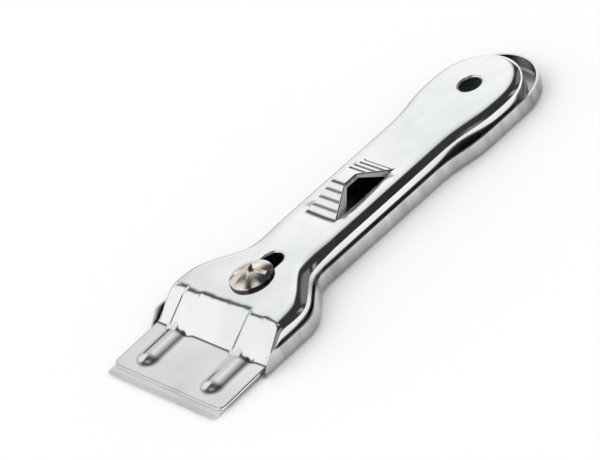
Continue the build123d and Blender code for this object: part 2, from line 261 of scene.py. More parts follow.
BEAD_BLEND, BEAD_BLEND_HALF = 1.5, 3.4       # softer crease where a bead runs into its panel

# rolled edge: its radius is tiny at the plate, smaller down the facets and larger at the neck
ROLL_PLACES = (-CREASE_REACH - 0.6, WIDEN_TO, -BEND_REACH, 0, 8, 18)
ROLL_BENDS = (0.25, 0.9, 2.0, 3.0, 3.0, 2.0)
CROWN_DROP, CROWN_REACH, CROWN_FADE = 0.2, 2.4, 0.6
# slight waves of the sheet: pace along X and Y, and phase
WAVES = ((0.31, 0.17, 0.4), (-0.22, 0.37, 2.1), (0.53, -0.29, 4.0), (0.12, 0.09, 1.0))
WAVE_HEIGHT = 0.045

# thumb bridge
BRIDGE_FROM, BRIDGE_TO, BRIDGE_HALF, BRIDGE_RISE = 24.1, 45.0, 5.3, 4.3
CROWN_FROM, CROWN_TO, CROWN_HALF, CROWN_SOFT = 32.4, 36.5, 2.3, 0.35
STRAP_DROP, STRAP_LEAN = 1.1, 0.35
NEAR_ALONG, NEAR_ACROSS = 2, 1.5     # margins round the bridge's feet
STRAP_ROOT, STRAP_ROOT_REACH = 0.3, 0.8      # rise over which the strap's foot gets sharper
FOOT_SOFT, FLANK_FOOT_SOFT, RIDGE_SOFT = 0.4, 0.12, 0.35
FOOT_DIP, FOOT_DIP_AHEAD, FOOT_DIP_REACH, FOOT_DIP_HALF = 0.07, 0.9, 1.3, 6.0
RIB_PITCH, GROOVE_COUNT, GROOVE_DEPTH = 2.1, 3, 0.26
GROOVE_HALF, REAR_GROOVE_HALF, GROOVE_WALL, GROOVE_SOFT = 0.36, 0.58, 0.26, 0.4
GROOVE_MARGIN, GROOVE_RUN_OUT = 0.1, 0.5
# each groove's place along the handle and its half-width
GROOVES = [(BRIDGE_FROM + (i + 1) * RIB_PITCH, GROOVE_HALF) for i in range(GROOVE_COUNT)]
GROOVES += [(BRIDGE_TO - i * RIB_PITCH, REAR_GROOVE_HALF) for i in range(GROOVE_COUNT + 1)]
WINDOW_FROM, WINDOW_TO = 26.4, 44.3
WINDOW_BEND, WINDOW_FOOT_BEND = 0.6, 0.25
# share of painted shade in the bridge's grooves and along the plate's edge
SHADE_GAIN, EDGE_SHADE = 1.4, 0.45
# the sheared flank starts beside the strap and above its foot, each with its fade, and ends
SHEARED_FROM, SHEARED_FADE, SHEARED_REACH = -0.02, 0.15, 2.5
SHEARED_RISE, SHEARED_RISE_FADE = 0.5, 0.6

# fineness of the mesh
ARC_STEP, OUTLINE_STEP, HOLE_STEP, WINDOW_STEP = 0.2, 0.45, 0.3, 0.25
EASE, EASE_REACH = 6, 4.0
TAIL_STEPS, ROLL_STEPS, WALL_STEPS = 90, 9, 5
RIM_STEPS, RIM_LEAN, RIM_BULGE = 4, radians(60), 0.1
HOLE_RINGS = (0.12, 0.24, COIN_WIDTH + 0.03)     # distances of the rings of points round a hole
# zones of points: steps along X and Y, which are finest across the ribs, and margins
PLATE_GRID, RIB_GRID, CROWN_GRID = (0.42, 0.36), (0.4, 0.11), (0.3, 0.3)
FLAT_GRID, TAIL_GRID = (1.1, 1.1), (1.2, 1.2)
FACETS_PAST_FOLD, FLAT_PAST_FOLD = 2.0, 2.2
BRIDGE_MARGIN, FLAT_MARGIN = 1.2, 1.4
CLEAR_STEPS, CLEAR_LEAST = 0.6, 0.05     # room round every ring, in a zone's steps and in mm


def rounded(corners):
    """Points of a polyline whose corners (x, y, radius) are rounded with arcs."""
    points = []
    for i, (x, y, radius) in enumerate(corners):
        here = np.array((x, y))
        if radius == 0:
            points.append(here)
            continue
        before = np.array(corners[i - 1][:2]) - here
        after = np.array(corners[(i + 1) % len(corners)][:2]) - here
        before /= np.linalg.norm(before)
        after /= np.linalg.norm(after)
        half_angle = np.arccos(np.clip(before @ after, -1, 1)) / 2
        middle = (before + after) / np.linalg.norm(before + after)
        centre = here + middle * radius / sin(half_angle)
        start = here + before * radius / tan(half_angle) - centre
        end = here + after * radius / tan(half_angle) - centre
        sweep = np.pi - 2 * half_angle
        steps = max(int(radius * sweep / ARC_STEP), 4)
        for t in np.linspace(0, 1, steps + 1):
            arm = (start * sin((1 - t) * sweep) + end * sin(t * sweep)) / sin(sweep)
            points.append(centre + arm)
    return np.array(points)


def evenly(points, step):
    """The closed line through the points, divided into even steps."""
    closed = np.vstack((points, points[:1]))
    lengths = np.concatenate(([0], np.cumsum(np.linalg.norm(np.diff(closed, axis=0), axis=1))))
    at = np.linspace(0, lengths[-1], int(round(lengths[-1] / step)), endpoint=False)
    return np.column_stack([np.interp(at, lengths, closed[:, axis]) for axis in (0, 1)])


def outward(loop):
    """Unit normals of a closed loop that runs anticlockwise."""
    along = np.roll(loop, -1, axis=0) - np.roll(loop, 1, axis=0)
    along /= np.linalg.norm(along, axis=1)[:, None]
    return np.column_stack((along[:, 1], -along[:, 0]))


def smooth(value):
    value = np.clip(value, 0, 1)
    return value * value * (3 - 2 * value)


def soft_min(a, b, soft):
    """Lower of two heights, with a rounded change between them."""
    share = np.clip(0.5 + 0.5 * (b - a) / soft, 0, 1)
    return b + (a - b) * share - soft * share * (1 - share)


def soft_max(a, b, soft):
    return -soft_min(-a, -b, soft)


# ---- outlines from above ----------------------------------------------------------------------
def cover_outline():
    """The cover from above, anticlockwise."""
    right = [
        (PLATE_HALF, -PLATE_REACH, PLATE_CORNER),
        (PLATE_HALF, WIDEN_FROM, 0),
        (HEAD_HALF, WIDEN_TO, 0),
        (HEAD_HALF, SHOULDER_AT, SHOULDER_BEND),
        (HANDLE_HALF, NECK_AT, NECK_BEND),
        (HANDLE_HALF, SWELL_FROM, SWELL_BEND),
        (TAIL_HALF, SWELL_TO, SWELL_BEND),
        (TAIL_HALF, HANGING_AT, 0),
    ]
    turns = np.linspace(0, np.pi, TAIL_STEPS)[1:-1]
    tail = [(TAIL_HALF * cos(t), HANGING_AT + TAIL_HALF * sin(t), 0) for t in turns]
    left = [(-x, y, radius) for x, y, radius in reversed(right)]
    outline = evenly(rounded(right + tail + left), OUTLINE_STEP)
    # a stamped outline has no sudden changes of bend behind the head
    eased = sum(np.roll(outline, k, axis=0) for k in range(-EASE, EASE + 1)) / (2 * EASE + 1)
    share = smooth((outline[:, 1] + BEND_REACH) / EASE_REACH)[:, None]
    return outline * (1 - share) + eased * share


def circle(radius, centre):
    turns = np.arange(0, 2 * np.pi, HOLE_STEP / radius)
    x = centre[0] + radius * np.cos(turns)
    y = centre[1] + radius * np.sin(turns)
    return np.column_stack((x, y))


def slot_outline():
    bend = SLOT_RADIUS * 0.999   # a hair less than half the width, so that no two arcs meet
    front, back = -SLOT_RADIUS, SLOT_LENGTH + SLOT_RADIUS
    corners = [
        (SLOT_RADIUS, front, bend),
        (SLOT_RADIUS, back, bend),
        (-SLOT_RADIUS, back, bend),
        (-SLOT_RADIUS, front, bend),
    ]
    return evenly(rounded(corners), HOLE_STEP)


def window_outline(side):
    """A side opening of the bridge from above: it lies in the bridge's leaning flank."""
    inner = CROWN_HALF + STRAP_LEAN
    outer = BRIDGE_HALF + STRAP_LEAN
    corners = [
        (side * outer, WINDOW_FROM, WINDOW_FOOT_BEND),
        (side * outer, WINDOW_TO, WINDOW_FOOT_BEND),
        (side * inner, CROWN_TO, WINDOW_BEND),
        (side * inner, CROWN_FROM, WINDOW_BEND),
    ]
    if side < 0:
        corners.reverse()
    return evenly(rounded(corners), WINDOW_STEP)


OUTLINE = cover_outline()
RIGHT_SIDE = OUTLINE[OUTLINE[:, 0] > 0]
SIDE_X, SIDE_Y = RIGHT_SIDE[np.argsort(RIGHT_SIDE[:, 1])].T


# ---- height of the cover's outer face ---------------------------------------------------------
def waves(x, y):
    """The slight unevenness of stamped sheet, which only lowers it."""
    total = sum(np.sin(fx * x + fy * y + phase) for fx, fy, phase in WAVES)
    return WAVE_HEIGHT * (total / len(WAVES) - 1)


def nose_height(reach, level):
    """Height of a face parallel to the blade, at a level above the tongue's underside."""
    return (TONGUE_REACH - reach) * tan(NOSE_PITCH) + level / cos(NOSE_PITCH)


CREASE_TOP = nose_height(CREASE_REACH, PLATE_LEVEL + SHEET)
SLOPE = (COVER_TOP - CREASE_TOP) / (CREASE_REACH - BEND_REACH)


def slope_height(x, y):
    """The facets' plane with its two raised panels."""
    rise = np.clip((y + CREASE_REACH) / (CREASE_REACH - BEND_REACH), -0.5, 1.5)
    inner = PANEL_FOOT[0] + (PANEL_HEAD[0] - PANEL_FOOT[0]) * rise
    outer = PANEL_FOOT[1] + (PANEL_HEAD[1] - PANEL_FOOT[1]) * rise
    side = np.abs(x)
    panel = smooth((side - inner) / PANEL_SOFT + 0.5) * smooth((outer - side) / PANEL_SOFT + 0.5)
    panel = panel * smooth((rise - PANEL_FADE_FROM) / PANEL_FADE)
    middle = smooth((inner - side) / PANEL_SOFT + 0.5)
    lean = (x + PANEL_HEAD[0]) / (2 * PANEL_HEAD[0])
    twist = CENTRE_TWIST * middle * np.clip(rise, 0, 1.2) * lean
    height = CREASE_TOP + (y + CREASE_REACH) * SLOPE + panel * PANEL_RISE * sqrt(1 + SLOPE**2)
    return height - twist + waves(x, y)


def plate_height(x, y):
    """The front plate with its two beads."""
    tip = -(BEAD_REACH - BEAD_HALF)
    off_spine = np.hypot(np.abs(x) - BEAD_AT, np.minimum(y - tip, 0))
    flank = (1 - off_spine / BEAD_HALF) * BEAD_STEEPNESS
    bead = soft_max(soft_min(flank, BEAD_CREST, BEAD_CREST_SOFT), 0 * flank, BEAD_FOOT_SOFT)
    return nose_height(-y, PLATE_LEVEL + SHEET) + BEAD_RISE * bead + waves(x, y)


def grooves(y):
    """Depth share of the grooves between the ribs, at a place along the handle."""
    total = 0
    for place, half in GROOVES:
        off = (half - np.abs(y - place)) / GROOVE_WALL
        total = total + np.clip(soft_max(soft_min(off, 1, GROOVE_SOFT), 0 * off, GROOVE_SOFT), 0, 1)
    return total


def strap_rise(y):
    """Height of the bridge's strap above the flat top, along its middle."""
    front = (y - BRIDGE_FROM) * BRIDGE_RISE / (CROWN_FROM - BRIDGE_FROM)
    rear = (BRIDGE_TO - y) * BRIDGE_RISE / (BRIDGE_TO - CROWN_TO)
    return soft_min(np.minimum(front, rear), BRIDGE_RISE, CROWN_SOFT)


def strap_half(y):
    """Half-width of the strap, which narrows from its feet to its crown."""
    share = np.clip(strap_rise(y) / BRIDGE_RISE, 0, 1)
    return BRIDGE_HALF + (CROWN_HALF - BRIDGE_HALF) * share


def groove_share(x, y):
    """Depth share of the grooves at a place: they run out just inside the strap's sides."""
    return grooves(y) * smooth((strap_half(y) - np.abs(x) - GROOVE_MARGIN) / GROOVE_RUN_OUT)


def bridge_height(x, y):
    """Height of the bridge above the flat top: its grooved strap and its two leaning flanks."""
    strap = strap_rise(y)
    flank = strap + (strap_half(y) - np.abs(x)) * STRAP_DROP / STRAP_LEAN
    return soft_min(strap - GROOVE_DEPTH * groove_share(x, y), flank, RIDGE_SOFT)


def coin(distance):
    """How far the edge of a hole is pressed down, at a distance from it."""
    return COIN_DEPTH * (1 - smooth(distance / COIN_WIDTH))


def roll_radius_at(y):
    return np.interp(y, ROLL_PLACES, ROLL_BENDS)


def edge_crown(x, y):
    """The flat top falls away a little before its rolled edge."""
    off_side = np.interp(y, SIDE_Y, SIDE_X) - np.abs(x)
    off_tail = TAIL_HALF - np.hypot(x, y - HANGING_AT)
    off = np.where(y > HANGING_AT, off_tail, off_side) - roll_radius_at(y)
    before = np.clip(1 - off / CROWN_REACH, 0, 1) ** 2
    beyond = 2 * CROWN_FADE / CROWN_REACH * (1 - np.exp(np.minimum(off, 0) / CROWN_FADE))
    return CROWN_DROP * (before + beyond)


def dips(x, y):
    """Two shallow hollows of the flat top: ahead of the bridge, and on the left behind the fold."""
    at_foot = ((y - BRIDGE_FROM + FOOT_DIP_AHEAD) / FOOT_DIP_REACH) ** 2
    by_bridge = FOOT_DIP * np.exp(-at_foot - (x / FOOT_DIP_HALF) ** 4)
    at_fold = ((y + BEND_REACH) / FOLD_DIP_REACH) ** 2
    by_fold = FOLD_DIP * np.exp(-at_fold) * (1 - smooth((x - FOLD_DIP_TO) / FOLD_DIP_RUN_OUT))
    return by_bridge + by_fold


def top_height(x, y):
    """The flat top with its bridge, crowned edge and coined holes."""
    flat = COVER_TOP + waves(x, y) - edge_crown(x, y) - dips(x, y)
    bridge = COVER_TOP + bridge_height(x, y)
    up_strap = smooth((strap_rise(y) - STRAP_ROOT) / STRAP_ROOT_REACH)
    foot = FOOT_SOFT - (FOOT_SOFT - FLANK_FOOT_SOFT) * up_strap
    # only round the bridge, since its flanks fall on without end
    beside = (y > BRIDGE_FROM - NEAR_ALONG) & (y < BRIDGE_TO + NEAR_ALONG)
    near = beside & (np.abs(x) < BRIDGE_HALF + NEAR_ACROSS)
    height = np.where(near, soft_max(flat, bridge, foot), flat)
    slot_off = np.hypot(x, y - np.clip(y, 0, SLOT_LENGTH)) - SLOT_RADIUS
    hole_off = np.hypot(x, y - HANGING_AT) - HANGING_RADIUS
    return height - coin(slot_off) - coin(hole_off)


def cover_height(x, y):
    """The whole outer face: flat top, then down the facets to the front plate."""
    wander = sum(size * np.sin(pace * x + phase) for size, pace, phase in FOLD_WANDER)
    fold = FOLD_SOFT * (FOLD_MEAN + wander - FOLD_SLANT * x)
    height = soft_min(top_height(x, y), slope_height(x, y), fold)
    by_bead = np.exp(-(((np.abs(x) - BEAD_AT) / BEAD_BLEND_HALF) ** 2))
    return soft_max(height, plate_height(x, y), CREASE_SOFT + BEAD_BLEND * by_bead)


def cover_normals(x, y, step=0.01):
    """Unit normals of the outer face."""
    across = (cover_height(x + step, y) - cover_height(x - step, y)) / (2 * step)
    along = (cover_height(x, y + step) - cover_height(x, y - step)) / (2 * step)
    normals = np.column_stack((-across, -along, np.ones_like(across)))
    return normals / np.linalg.norm(normals, axis=1)[:, None]


def recess(x, y):
    """How deep a place lies in a groove, which sets how much shade is painted there."""
    over_bridge = (y > BRIDGE_FROM) & (y < BRIDGE_TO)
    return np.where(over_bridge, np.clip(groove_share(x, y) * SHADE_GAIN, 0, 1), 0)


def sheared(x, y):
    """Where the sheet was torn and drawn, so that it lost its polish: the bridge's flanks."""
    off = np.abs(x) - strap_half(y)
    beside = smooth((off - SHEARED_FROM) / SHEARED_FADE)
    flank = beside * smooth((strap_rise(y) - SHEARED_RISE) / SHEARED_RISE_FADE)
    return np.where(off < SHEARED_REACH, flank, 0)


# ---- triangles of the outer face --------------------------------------------------------------
def inside(points, loop):
    """Which points lie inside a closed loop."""
    x, y = points[:, 0], points[:, 1]
    result = np.zeros(len(points), bool)
    for (ax, ay), (bx, by) in zip(loop, np.roll(loop, -1, axis=0)):
        crosses = (ay > y) != (by > y)
        if ay != by:
            result ^= crosses & (x < (bx - ax) * (y - ay) / (by - ay) + ax)
    return result


def distance_to(points, loop):
    """Distance of each point to the nearest point of a loop, worked out in chunks."""
    least = np.full(len(points), np.inf)
    for chunk in np.array_split(loop, max(len(loop) // 50, 1)):
        gaps = np.linalg.norm(points[:, None, :] - chunk[None], axis=2)
        least = np.minimum(least, gaps.min(axis=1))
    return least


def grid(x_half, y_from, y_to, x_step, y_step):
    """Points over a zone, with every other row shifted by half a step."""
    xs = np.arange(-x_half, x_half + x_step, x_step)
    ys = np.arange(y_from, y_to, y_step)
    x, y = np.meshgrid(xs, ys)
    x = x + np.where(np.arange(len(ys)) % 2, x_step / 2, 0)[:, None]
    return np.column_stack((x.ravel(), y.ravel()))


def kept(points, boundary, holes):
    """Which points lie inside the boundary and outside every hole."""
    keep = inside(points, boundary)
    for loop, _ in holes:
        keep &= ~inside(points, loop)
    return keep


def fill(boundary, holes, zones):
    """Plan points and triangles inside a boundary and outside its holes, with zones of points."""
    rings = [boundary]
    for loop, ring_steps in holes:
        rings.append(loop)
        rings += [loop + outward(loop) * step for step in ring_steps]
    fixed = np.vstack(rings)
    points = [fixed]
    for x_half, y_from, y_to, x_step, y_step in zones:
        cloud = grid(x_half, y_from, y_to, x_step, y_step)
        cloud = cloud[kept(cloud, boundary, holes)]
        room = CLEAR_STEPS * min(x_step, y_step) + CLEAR_LEAST
        points.append(cloud[distance_to(cloud, fixed) > room])
    edges = []
    start = 0
    for ring in rings:
        n = len(ring)
        edges += [(start + i, start + (i + 1) % n) for i in range(n)]
        start += n
    flat = [Vector(p) for p in np.vstack(points)]
    verts, _, faces, _, _, _ = delaunay_2d_cdt(flat, edges, [], 0, 1e-6)
    plan = np.array([tuple(v) for v in verts])
    faces = np.array(faces)
    return plan, faces[kept(plan[faces].mean(axis=1), boundary, holes)]


# ---- the cover as one closed sheet ------------------------------------------------------------
def rolled_rings(normal, radius):
    """Rings of the rolled edge, from the wall (turn 0) up to the flat top (a quarter turn)."""
    x, y = OUTLINE.T
    rings = []
    for turn in np.linspace(0, np.pi / 2, ROLL_STEPS + 1):
        inset = radius * (1 - cos(turn))
        px, py = x - normal[:, 0] * inset, y - normal[:, 1] * inset
        height = cover_height(px, py) - radius * (1 - sin(turn))
        mixed = cover_normals(px, py) * sin(turn)
        mixed[:, :2] += normal * cos(turn)
        mixed /= np.linalg.norm(mixed, axis=1)[:, None]
        rings.append((np.column_stack((px, py, height)), mixed))
    return rings


def cover_skin():
    """Points and faces of the cover's outer face, and the inner face one sheet further in."""
    normal = outward(OUTLINE)
    y = OUTLINE[:, 1]
    n = len(OUTLINE)
    radius = roll_radius_at(y)
    rings = rolled_rings(normal, radius)
    holes = [
        (slot_outline(), HOLE_RINGS),
        (circle(HANGING_RADIUS, (0, HANGING_AT)), HOLE_RINGS),
        (window_outline(1), ()),
        (window_outline(-1), ()),
    ]
    bridge_width = BRIDGE_HALF + BRIDGE_MARGIN
    bridge_start, bridge_end = BRIDGE_FROM - BRIDGE_MARGIN, BRIDGE_TO + BRIDGE_MARGIN
    # half-width, start, end and steps
    zones = [
        (PLATE_HALF, -PLATE_REACH, -BEND_REACH + FACETS_PAST_FOLD, *PLATE_GRID),
        (bridge_width, bridge_start, CROWN_FROM, *RIB_GRID),
        (bridge_width, CROWN_FROM, CROWN_TO, *CROWN_GRID),
        (bridge_width, CROWN_TO, bridge_end, *RIB_GRID),
        (HEAD_HALF, -BEND_REACH + FLAT_PAST_FOLD, BRIDGE_FROM - FLAT_MARGIN, *FLAT_GRID),
        (HANDLE_HALF, BRIDGE_FROM - FLAT_MARGIN, bridge_end, *FLAT_GRID),
        (TAIL_HALF, BRIDGE_TO + FLAT_MARGIN, HANGING_AT + TAIL_HALF, *TAIL_GRID),
    ]
    plan, faces = fill(rings[-1][0][:, :2], holes, zones)
    fill_z = cover_height(plan[:, 0], plan[:, 1])
    fill_normal = cover_normals(plan[:, 0], plan[:, 1])
    fill_z[:n], fill_normal[:n] = rings[-1][0][:, 2], rings[-1][1]

    # outer face: the filled middle, then the rings of the roll, then the wall
    points = [np.column_stack((plan, fill_z))]
    normals = [fill_normal]
    rolls = [None] * ROLL_STEPS + [np.arange(n)]
    count = len(plan)
    for k in range(ROLL_STEPS - 1, -1, -1):
        points.append(rings[k][0])
        normals.append(rings[k][1])
        rolls[k] = np.arange(count, count + n)
        count += n
    wall_normal = np.column_stack((normal, np.zeros(n)))
    edge_height = rings[0][0][:, 2]
    behind_slope = smooth((y + CREASE_REACH - FLANGE_AT) / FLANGE_RUN)
    top = edge_height + radius
    low = top - np.maximum(SHEET, (top - FLANGE_LOW) * behind_slope)
    walls = [rolls[0]]
    for k in range(1, WALL_STEPS + 1):
        z = edge_height + (low - edge_height) * k / WALL_STEPS
        points.append(np.column_stack((OUTLINE, z)))
        normals.append(wall_normal)
        walls.append(np.arange(count, count + n))
        count += n
    points = np.vstack(points)
    normals = np.vstack(normals)

    # the inner face lies one sheet further in, with a mitred corner where the roll meets the wall
    inward = normals.copy()
    a, b = normals[rolls[0]], wall_normal
    inward[rolls[0]] = (a + b) / (1 + (a * b).sum(axis=1))[:, None]
    inner = points - inward * SHEET
    # at the plate the wall is the sheet's cut edge, so its underside runs out to the outline
    plain = behind_slope == 0
    for ring in rolls[:-1] + walls:
        inner[ring[plain], :2] = points[ring[plain], :2]
        inner[ring[plain], 2] = low[plain]
    marks = {
        "recess": recess(points[:, 0], points[:, 1]),
        "sheared": sheared(points[:, 0], points[:, 1]),
    }
    # painted shade lies along the plate's edge, and grows down its cut edge
    marks["recess"][rolls[-1][plain]] = EDGE_SHADE
    for k, ring in enumerate(walls):
        marks["recess"][ring[plain]] = (k / WALL_STEPS) ** 3
    return SimpleNamespace(
        outer=points, normals=normals, inner=inner, faces=faces, rolls=rolls, walls=walls,
        wall_normal=wall_normal, holes=holes, plain=plain, marks=marks,
    )


class Sheet:
    """A closed sheet: its outer points, its inner points in the same order, and its rims'."""

    def __init__(self, outer, inner):
        self.total = len(outer)
        self.points = np.vstack((outer, inner))
        self.polygons, self.loop_normals = [], []

    def face(self, corners, normals):
        self.polygons.append(tuple(int(c) for c in corners))
        self.loop_normals.extend(tuple(v) for v in normals)

    def pair(self, corners, normals):
        """A face of the outer side, and the one below it."""
        self.face(corners, normals)
        self.face([c + self.total for c in reversed(corners)], [-v for v in reversed(normals)])

    def rim(self, ring, down, skip=None):
        """The sheet's cut edge, rounded out from its outer to its inner side."""
        size = len(ring)
        a, b = self.points[ring], self.points[ring + self.total]
        across = b - a
        across /= np.linalg.norm(across, axis=1)[:, None] + 1e-9
        ahead = np.roll(a, -1, axis=0) - np.roll(a, 1, axis=0)
        out = np.cross(across, ahead) if down else np.cross(ahead, across)
        out /= np.linalg.norm(out, axis=1)[:, None] + 1e-9
        rows, facing = [ring], []
        for k in range(RIM_STEPS + 1):
            share = k / RIM_STEPS
            lean = RIM_LEAN * (2 * share - 1)
            facing.append(out * cos(lean) + across * sin(lean))
            if 0 < k < RIM_STEPS:
                bulge = RIM_BULGE * (cos(lean) - cos(RIM_LEAN)) / (1 - cos(RIM_LEAN))
                rows.append(len(self.points) + np.arange(size))
                self.points = np.vstack((self.points, a + (b - a) * share + out * bulge))
        rows.append(ring + self.total)
        for k in range(RIM_STEPS):
            for i in range(size):
                j = (i + 1) % size
                if skip is not None and skip[i] and skip[j]:
                    continue
                corners = [rows[k][i], rows[k][j], rows[k + 1][j], rows[k + 1][i]]
                around = [facing[k][i], facing[k][j], facing[k + 1][j], facing[k + 1][i]]
                if down:
                    corners.reverse()
                    around.reverse()
                self.face(corners, around)


def add_piece(name, mesh):
    piece = bpy.data.objects.new(name, mesh)
    bpy.context.collection.objects.link(piece)
    return piece


def build_sheet(name):
    skin = cover_skin()
    sheet = Sheet(skin.outer, skin.inner)
    n = len(skin.plain)
    for a, b, c in skin.faces:
        p, q, r = skin.outer[[a, b, c], :2]
        if (q[0] - p[0]) * (r[1] - p[1]) - (q[1] - p[1]) * (r[0] - p[0]) < 0:
            b, c = c, b
        sheet.pair([a, b, c], [skin.normals[a], skin.normals[b], skin.normals[c]])
    for lower, upper in zip(skin.rolls, skin.rolls[1:]):
        for i in range(n):
            j = (i + 1) % n
            corners = [lower[i], lower[j], upper[j], upper[i]]
            sheet.pair(corners, [skin.normals[c] for c in corners])
    for upper, lower in zip(skin.walls, skin.walls[1:]):
        for i in range(n):
            j = (i + 1) % n
            here, after = skin.wall_normal[i], skin.wall_normal[j]
            add = sheet.face if skin.plain[i] and skin.plain[j] else sheet.pair
            add([lower[i], lower[j], upper[j], upper[i]], [here, after, after, here])

    # cut edges of the sheet: below the walls and in each hole
    sheet.rim(skin.walls[-1], True, skin.plain)
    start = n
    for loop, ring_steps in skin.holes:
        size = len(loop)
        sheet.rim(np.arange(start, start + size), False)
        start += size * (1 + len(ring_steps))

    mesh = bpy.data.meshes.new(name)
    mesh.from_pydata([tuple(p) for p in sheet.points * MM], [], sheet.polygons)
    mesh.polygons.foreach_set("use_smooth", [True] * len(mesh.polygons))
    mesh.normals_split_custom_set(sheet.loop_normals)
    mesh.transform(Matrix.Translation((0, SCREW_Y, 0)))
    for mark, values in skin.marks.items():
        layer = mesh.attributes.new(mark, "FLOAT", "POINT")
        rims = np.zeros(len(sheet.points) - 2 * sheet.total)
        both = np.concatenate((values, values, rims))
        layer.data.foreach_set("value", both.astype(np.float32))
    return add_piece(name, mesh)


def low_head(source, name):
    """The screw with its dome drawn further down, so that its rim is a thin edge."""
    mesh = source.data.copy()
    mesh.name = name
    mesh.transform(source.matrix_world)
    corner = [Vector(n.vector) for n in mesh.corner_normals]
    slope = HEAD_FALL / HEAD_RADIUS**2 / MM
    moved = [v.co.z > (HEAD_LOW + HEAD_STEM) * MM for v in mesh.vertices]
    for loop in mesh.loops:
        n = corner[loop.index]
        if moved[loop.vertex_index] and n.z > FACES_UP:
            at = mesh.vertices[loop.vertex_index].co
            n.x += 2 * slope * at.x * n.z
            n.y += 2 * slope * (at.y - SCREW_Y) * n.z
            n.normalize()
    for v, move in zip(mesh.vertices, moved):
        if move:
            v.co.z -= slope * (v.co.x**2 + (v.co.y - SCREW_Y) ** 2)
    mesh.normals_split_custom_set([tuple(n) for n in corner])
    piece = add_piece(name, mesh)
    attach(piece, "screw")
    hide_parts("clamp_screw")
    return piece


add_camera()
add_floor()
add_world()
bpy.context.scene.view_settings.view_transform = "Standard"

NODES = frame["nodes"]
LIFT = [joint for joint in frame["joints"] if joint["name"] == "washer_lift"][0]
SCREW_Y = LIFT["pos_m"][1]

skin = build_sheet("cover_sheet")
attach(skin, "cover")
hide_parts("cover_shell")


# ---- metals -----------------------------------------------------------------------------------
class Metal:
    """A metal's node tree: coordinates are the piece's own, in metres."""

    def __init__(self, name):
        self.material = bpy.data.materials.new(name)
        self.material.use_nodes = True
        self.tree = self.material.node_tree
        self.shader = self.tree.nodes["Principled BSDF"]
        self.shader.inputs["Metallic"].default_value = 1
        self.own = self.tree.nodes.new("ShaderNodeTexCoord").outputs["Object"]

    def node(self, kind, sockets, **settings):
        node = self.tree.nodes.new("ShaderNode" + kind)
        for key, value in settings.items():
            setattr(node, key, value)
        for key, value in sockets.items():
            self.feed(value, node.inputs[key])
        return node

    def feed(self, value, socket):
        if isinstance(value, bpy.types.NodeSocket):
            self.tree.links.new(value, socket)
        else:
            socket.default_value = value

    def noise(self, scale, detail=3.0, roughness=0.55):
        """Noise from 0 to 1 with its own scale (per metre) along each axis."""
        spread = self.node("Mapping", {"Vector": self.own, "Scale": scale}).outputs[0]
        kind = {"Scale": 1.0, "Detail": detail, "Roughness": roughness}
        return self.node("TexNoise", {"Vector": spread, **kind}).outputs["Fac"]

    def span(self, value, low, high, to_low=0.0, to_high=1.0):
        """A value between low and high, brought to its share of another span."""
        ends = {"From Min": low, "From Max": high, "To Min": to_low, "To Max": to_high}
        return self.node("MapRange", {"Value": value, **ends}).outputs["Result"]

    def times(self, a, b):
        return self.node("Math", {0: a, 1: b}, operation="MULTIPLY").outputs[0]

    def plus(self, a, b):
        return self.node("Math", {0: a, 1: b}, operation="ADD").outputs[0]

    def axis(self, name):
        return self.node("SeparateXYZ", {"Vector": self.own}).outputs[name]

    def mark(self, name):
        return self.node("Attribute", {}, attribute_name=name).outputs["Fac"]

    def blend(self, share, a, b):
        """The first colour or socket, with a share of the second."""
        node = self.node("Mix", {"Factor": share}, data_type="RGBA")
        for colour, key in ((a, "A"), (b, "B")):
            plain = not isinstance(colour, bpy.types.NodeSocket)
            self.feed((*colour, 1) if plain else colour, node.inputs[key])
        return node.outputs["Result"]

    def bump(self, height, distance, below=None):
        sockets = {"Height": height, "Distance": distance, "Strength": 1.0}
        if below is not None:
            sockets["Normal"] = below
        return self.node("Bump", sockets).outputs["Normal"]

    def wear(self):
        """Share of worn edge, from 0 on flat faces to 1 on convex edges."""
        return self.span(self.node("NewGeometry", {}).outputs["Pointiness"], *WORN_EDGE)

    def marked(self, colour, amount, mark):
        """A colour with a mark's own, which has its full share where the amount is 1."""
        own, share = mark
        return self.blend(self.times(amount, share), colour, own)

    def finish(self, colour, roughness, normal, piece):
        self.feed(colour, self.shader.inputs["Base Color"])
        self.feed(roughness, self.shader.inputs["Roughness"])
        self.feed(normal, self.shader.inputs["Normal"])
        piece.data.materials.clear()
        piece.data.materials.append(self.material)


# Scales of noise are per metre and heights of bumps are in metres. A metal's two colours are
# those of its clear and of its cloudy places, and a plating adds its two roughnesses there.
# A mark is a colour and its full share.
BRIGHT_PLATE = ((0.95, 0.955, 0.96), (0.81, 0.84, 0.855), (0.09, 0.16))
SATIN_PLATE = ((0.66, 0.67, 0.68), (0.46, 0.47, 0.48), (0.18, 0.3))
PLATE_CLOUDS = (55, 30, 55)
ROLLING_LINES = (9000, 260, 9000)
PLATE_SCRATCHES = (2600, 90, 2600)
PLATE_DENTS = (420, 300, 420)
WALL_STREAKS = (170, 170, 5)
LINE_HEIGHT, DENT_HEIGHT = 0.0000006, 0.000006
SCRATCHED = ((0.45, 0.46, 0.48), 0.12)
TORN = ((0.36, 0.37, 0.38), 0.5)
# painted shade in the bridge's grooves and along the plate's edge
GROOVE_AND_EDGE_SHADE = ((0.12, 0.125, 0.14), 0.85)
RUBBED = ((0.95, 0.95, 0.95), 0.5)
# painted shade on the base's wall, darker towards its resting face
FOOT_SHADE_TONE = ((0.2, 0.205, 0.21), 0.55)
# painted bluish shade on the tray's floor below the hanging hole
HOLE_SHADE_TINT = ((0.62, 0.76, 0.8), 0.8)
# the drawn wall's streaks, with painted shade round the tail
STREAK_AND_TAIL_SHADE = (0.16, 0.165, 0.17)
STREAK_SHARE, TAIL_SHARE = 0.36, 0.5
# what rolling lines and marks add to the roughness
LINE_ROUGH, SCRATCH_ROUGH, TORN_ROUGH, SHADE_ROUGH = 0.04, 0.08, 0.3, 0.2
